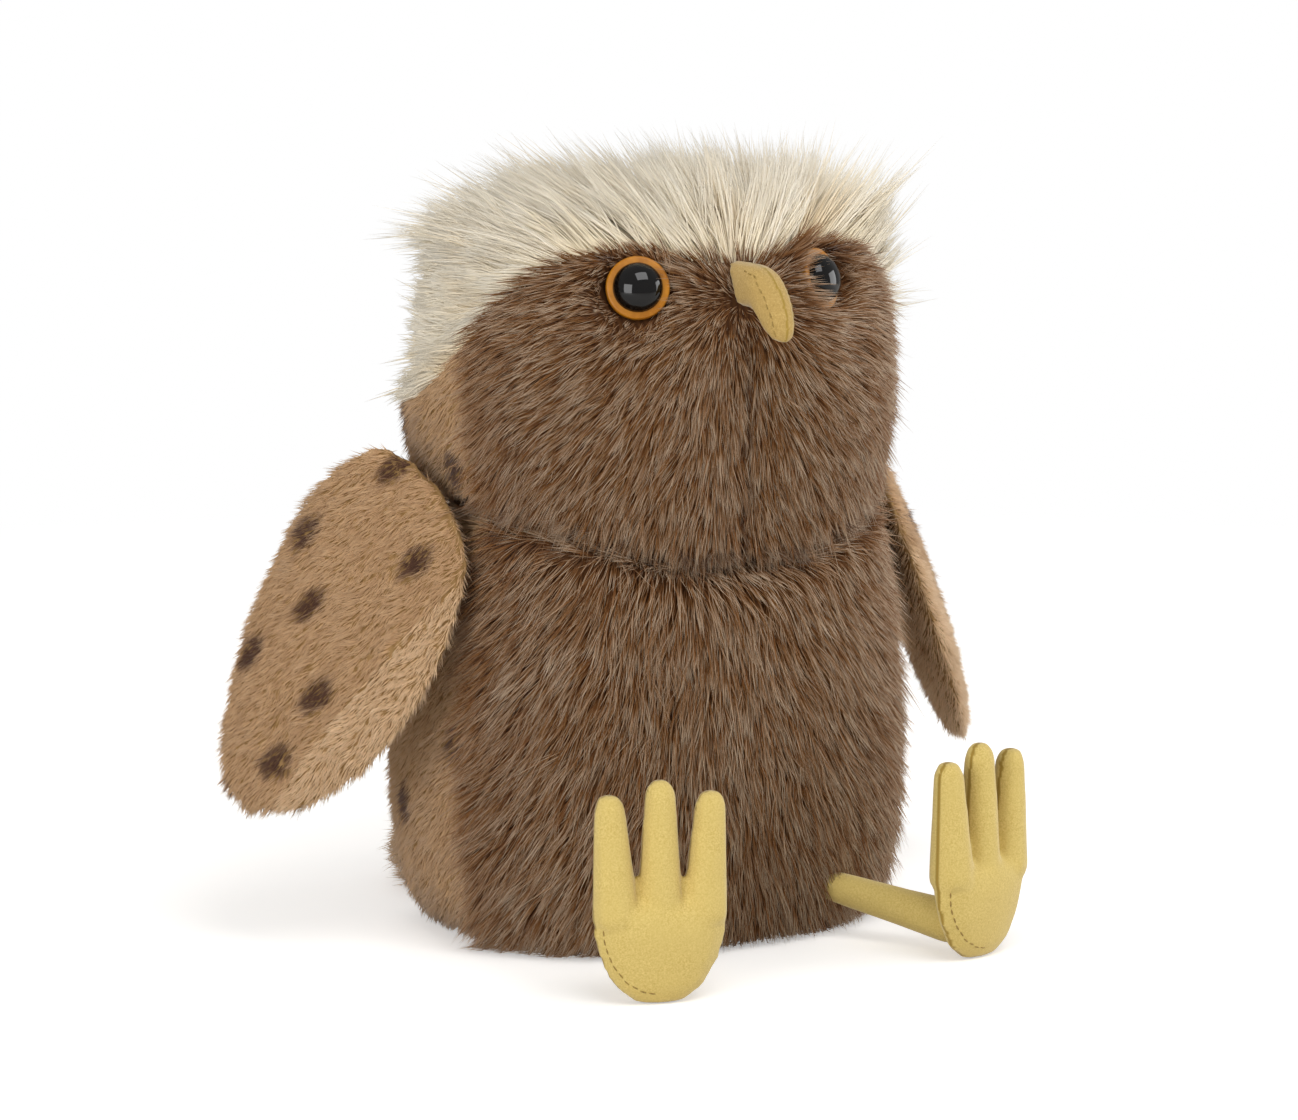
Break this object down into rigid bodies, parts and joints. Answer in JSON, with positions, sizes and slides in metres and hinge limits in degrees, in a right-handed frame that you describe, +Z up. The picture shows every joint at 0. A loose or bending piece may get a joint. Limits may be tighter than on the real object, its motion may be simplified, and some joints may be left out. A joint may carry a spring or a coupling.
{
  "type": "plush owl",
  "caption": "Seated stuffed plush owl with a long-pile crown, safety eyes, a suede beak, hinged wings, and bending legs and feet.",
  "frame": {"origin": "middle of the seat, on the surface that the owl sits on", "axes": "+Z up, the owl faces -Y, its right side is -X"},
  "size_m": [0.255, 0.2016, 0.224],
  "materials": {
    "grey_brown_pile": "brushed long-pile plush, grey-brown tips over rust-brown roots",
    "tan_plush": "short dense plush, tan with dark brown spots on the outer faces",
    "light_plush": "short dense plush, plain light tan",
    "cream_pile": "very long shaggy pile, cream white with pale yellow streaks",
    "yellow_suede": "matt short-napped microfibre suede",
    "amber_plastic": "moulded amber plastic with a satin face",
    "black_plastic": "moulded black plastic, polished",
    "white_plastic": "moulded natural plastic",
    "wadding": "loose polyester fibre",
    "bean_bag": "plain woven pouch of plastic beans"
  },
  "bodies": {
    "torso": {"body_front_panel": "grey_brown_pile", "face_panel_right": "grey_brown_pile", "face_panel_left": "grey_brown_pile", "body_side_panel_right": "tan_plush", "body_side_panel_left": "tan_plush", "head_side_panel_right": "tan_plush", "head_side_panel_left": "tan_plush", "base_panel": "tan_plush", "tail_cover": "tan_plush", "crown_panel": "cream_pile", "beak_side_right": "yellow_suede", "beak_side_left": "yellow_suede", "eye_iris_right": "amber_plastic", "eye_iris_left": "amber_plastic", "eye_pupil_right": "black_plastic", "eye_pupil_left": "black_plastic", "eye_washer_right": "white_plastic", "eye_washer_left": "white_plastic", "body_filling": "wadding", "head_filling": "wadding", "beak_filling": "wadding", "tail_filling": "wadding", "bean_pouch": "bean_bag"},
    "right_wing": {"wing_outer_panel_right": "tan_plush", "wing_inner_panel_right": "light_plush", "wing_filling_right": "wadding"},
    "right_leg": {"leg_cover_right": "yellow_suede", "leg_filling_right": "wadding"},
    "right_foot": {"foot_front_right": "yellow_suede", "foot_back_right": "yellow_suede", "foot_filling_right": "wadding"},
    "left_wing": {"wing_outer_panel_left": "tan_plush", "wing_inner_panel_left": "light_plush", "wing_filling_left": "wadding"},
    "left_leg": {"leg_cover_left": "yellow_suede", "leg_filling_left": "wadding"},
    "left_foot": {"foot_front_left": "yellow_suede", "foot_back_left": "yellow_suede", "foot_filling_left": "wadding"}
  },
  "joints": [
    {"name": "right_wing_lift", "type": "hinge", "parent": "torso", "child": "right_wing", "pos_m": [-0.07413, -0.00125, 0.13609], "axis": [-0.1894, 0.8452, 0.4997], "range_deg": [-8, 110], "stiffness_Nm_per_rad": 0.3},
    {"name": "right_leg_swing", "type": "hinge", "parent": "torso", "child": "right_leg", "pos_m": [-0.03669, -0.06232, 0.013], "axis": [-0.8352, 0.55, 0], "range_deg": [-75, 35], "stiffness_Nm_per_rad": 0.1},
    {"name": "right_ankle_bend", "type": "hinge", "parent": "right_leg", "child": "right_foot", "pos_m": [-0.04905, -0.08108, 0.00876], "axis": [0.9563, -0.2924, 0], "range_deg": [-25, 45], "stiffness_Nm_per_rad": 0.05},
    {"name": "left_wing_lift", "type": "hinge", "parent": "torso", "child": "left_wing", "pos_m": [0.07413, -0.00125, 0.13609], "axis": [-0.1894, -0.8452, -0.4997], "range_deg": [-8, 110], "stiffness_Nm_per_rad": 0.3},
    {"name": "left_leg_swing", "type": "hinge", "parent": "torso", "child": "left_leg", "pos_m": [0.03669, -0.06232, 0.013], "axis": [-0.8352, -0.55, 0], "range_deg": [-75, 35], "stiffness_Nm_per_rad": 0.1},
    {"name": "left_ankle_bend", "type": "hinge", "parent": "left_leg", "child": "left_foot", "pos_m": [0.04905, -0.08108, 0.00876], "axis": [0.9563, 0.2924, 0], "range_deg": [-25, 45], "stiffness_Nm_per_rad": 0.05}
  ]
}
